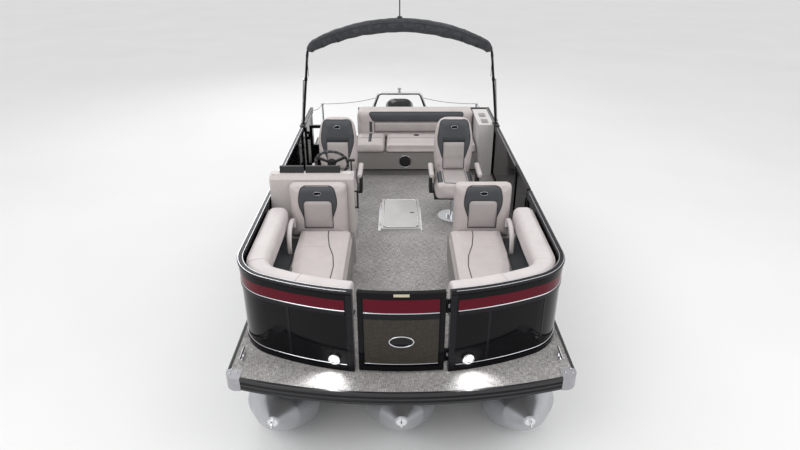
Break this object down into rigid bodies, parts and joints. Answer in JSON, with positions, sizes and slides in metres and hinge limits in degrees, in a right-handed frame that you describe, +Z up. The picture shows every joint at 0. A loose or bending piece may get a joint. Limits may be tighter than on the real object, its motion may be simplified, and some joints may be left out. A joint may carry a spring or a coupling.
{
  "type": "pontoon boat",
  "caption": "Pontoon boat on tubular floats with a fenced deck, bow gate, facing lounges, helm, swivel chairs, rear bench, folded bimini, tow bar and a tilted outboard.",
  "frame": {"origin": "on the ground under the tubes, midway between the foremost and aftmost points and between the two sides", "axes": "+X towards the boat's port side, +Y aft towards the outboard, +Z up; the bow faces -Y"},
  "size_m": [2.59, 6.9495, 3.1941],
  "materials": {
    "black_panel": "gloss",
    "boot_canvas": "woven",
    "charcoal_vinyl": "grained",
    "cord": "satin",
    "cowl": "gloss",
    "dark_plastic": "satin",
    "deck_vinyl": "woven",
    "hatch_plate": "brushed",
    "ivory_shell": "satin",
    "ivory_vinyl": "grained",
    "lamp": "clear",
    "motor_black": "gloss",
    "polished": "polished",
    "pontoon_skin": "satin",
    "propeller_steel": "polished",
    "quarter_shell": "gloss",
    "rail_metal": "satin",
    "rub_rail": "satin",
    "stainless": "polished",
    "structure": "mill"
  },
  "bodies": {
    "boat": {"pontoon_starboard": "pontoon_skin", "pontoon_centre": "pontoon_skin", "pontoon_port": "pontoon_skin", "risers": "structure", "cross_members": "structure", "motor_pod": "structure", "deck": "deck_vinyl", "rub_rails": "rub_rail", "corner_castings": "polished", "cleats": "stainless", "bow_eyes": "stainless", "fence_starboard": "black_panel", "fence_port_bow": "black_panel", "fence_port_aft": "black_panel", "fence_stern": "black_panel", "top_rails": "rail_metal", "gate_posts": "rail_metal", "docking_lights": "lamp", "lounge_base_starboard": "ivory_shell", "lounge_base_port": "ivory_shell", "lounge_seat_starboard": "ivory_vinyl", "lounge_seat_port": "ivory_vinyl", "lounge_back_starboard": "ivory_vinyl", "lounge_back_port": "ivory_vinyl", "lounge_wrap_starboard": "ivory_vinyl", "lounge_wrap_port": "ivory_vinyl", "lounge_armrests": "ivory_vinyl", "helm_console": "ivory_shell", "dash_fittings": "dark_plastic", "chair_pedestals": "stainless", "bench_base": "ivory_shell", "bench_seats": "ivory_vinyl", "bench_back": "charcoal_vinyl", "stern_locker": "quarter_shell", "hatch_frame": "stainless", "locker_tub": "dark_plastic", "bimini_mounts": "dark_plastic", "tow_bar": "stainless", "stern_posts": "stainless", "guard_lines": "cord", "ladder_brackets": "stainless", "motor_bracket": "motor_black"},
    "bow_gate": {"bow_gate": "black_panel"},
    "side_gate": {"side_gate": "black_panel"},
    "stern_gate": {"stern_gate": "black_panel"},
    "hatch_lid": {"hatch_lid": "hatch_plate"},
    "steering_wheel": {"steering_wheel": "dark_plastic"},
    "helm_chair": {"helm_chair_frame": "stainless", "helm_chair_cushions": "ivory_vinyl"},
    "companion_chair": {"companion_chair_frame": "stainless", "companion_chair_cushions": "ivory_vinyl"},
    "bimini": {"bimini_frame": "rail_metal", "bimini_boot": "boot_canvas", "light_mast": "dark_plastic"},
    "bimini_struts": {"bimini_struts": "stainless"},
    "boarding_ladder": {"boarding_ladder": "stainless"},
    "motor_swivel": {"motor_swivel": "motor_black"},
    "motor_head": {"motor_cowl": "cowl", "motor_leg": "motor_black"},
    "propeller": {"propeller": "propeller_steel"}
  },
  "joints": [
    {"name": "bow_gate_hinge", "type": "hinge", "parent": "boat", "child": "bow_gate", "pos_m": [0.32219, -3.19136, 0.85], "axis": [0, 0, -1], "range_deg": [0, 92]},
    {"name": "side_gate_hinge", "type": "hinge", "parent": "boat", "child": "side_gate", "pos_m": [1.213, -1.44377, 0.85], "axis": [0, 0, 1], "range_deg": [0, 92]},
    {"name": "stern_gate_hinge", "type": "hinge", "parent": "boat", "child": "stern_gate", "pos_m": [-1.168, 0.68123, 0.85], "axis": [0, 0, 1], "range_deg": [0, 92]},
    {"name": "hatch_hinge", "type": "hinge", "parent": "boat", "child": "hatch_lid", "pos_m": [-0.226, -0.53077, 0.866], "axis": [0, -1, 0], "range_deg": [0, 95]},
    {"name": "helm_chair_swivel", "type": "hinge", "parent": "boat", "child": "helm_chair", "pos_m": [-0.695, -0.57077, 0.85], "axis": [0, 0, 1], "continuous": true},
    {"name": "companion_chair_swivel", "type": "hinge", "parent": "boat", "child": "companion_chair", "pos_m": [0.6, -0.57077, 0.85], "axis": [0, 0, 1], "continuous": true},
    {"name": "bimini_fold", "type": "hinge", "parent": "boat", "child": "bimini", "pos_m": [0, 0.61923, 1.586], "axis": [-1, 0, 0], "range_deg": [0, 70]},
    {"name": "bimini_strut_swing", "type": "hinge", "parent": "boat", "child": "bimini_struts", "pos_m": [0, 0.72923, 1.586], "axis": [-1, 0, 0], "range_deg": [0, 70]},
    {"name": "ladder_fold", "type": "hinge", "parent": "boat", "child": "boarding_ladder", "pos_m": [-0.86, 2.40023, 0.894], "axis": [-1, 0, 0], "range_deg": [0, 265]},
    {"name": "motor_tilt", "type": "hinge", "parent": "boat", "child": "motor_swivel", "pos_m": [0, 2.38423, 0.7], "axis": [1, 0, 0], "range_deg": [-47, 13]},
    {"name": "motor_steer", "type": "hinge", "parent": "motor_swivel", "child": "motor_head", "pos_m": [0, 2.47289, 0.79508], "axis": [0, -0.7314, 0.682], "range_deg": [-30, 30]},
    {"name": "wheel_turn", "type": "hinge", "parent": "boat", "child": "steering_wheel", "pos_m": [-0.665, -1.25077, 1.75], "axis": [0, 0.9063, 0.4226], "range_deg": [-540, 540]},
    {"name": "propeller_spin", "type": "hinge", "parent": "motor_head", "child": "propeller", "pos_m": [0, 3.33591, 0.49621], "axis": [0, 0.682, 0.7314], "continuous": true}
  ],
  "couplings": [
    {"joint": "bimini_strut_swing", "follows": "bimini_fold", "ratio": 1},
    {"joint": "wheel_turn", "follows": "motor_steer", "ratio": 18}
  ]
}
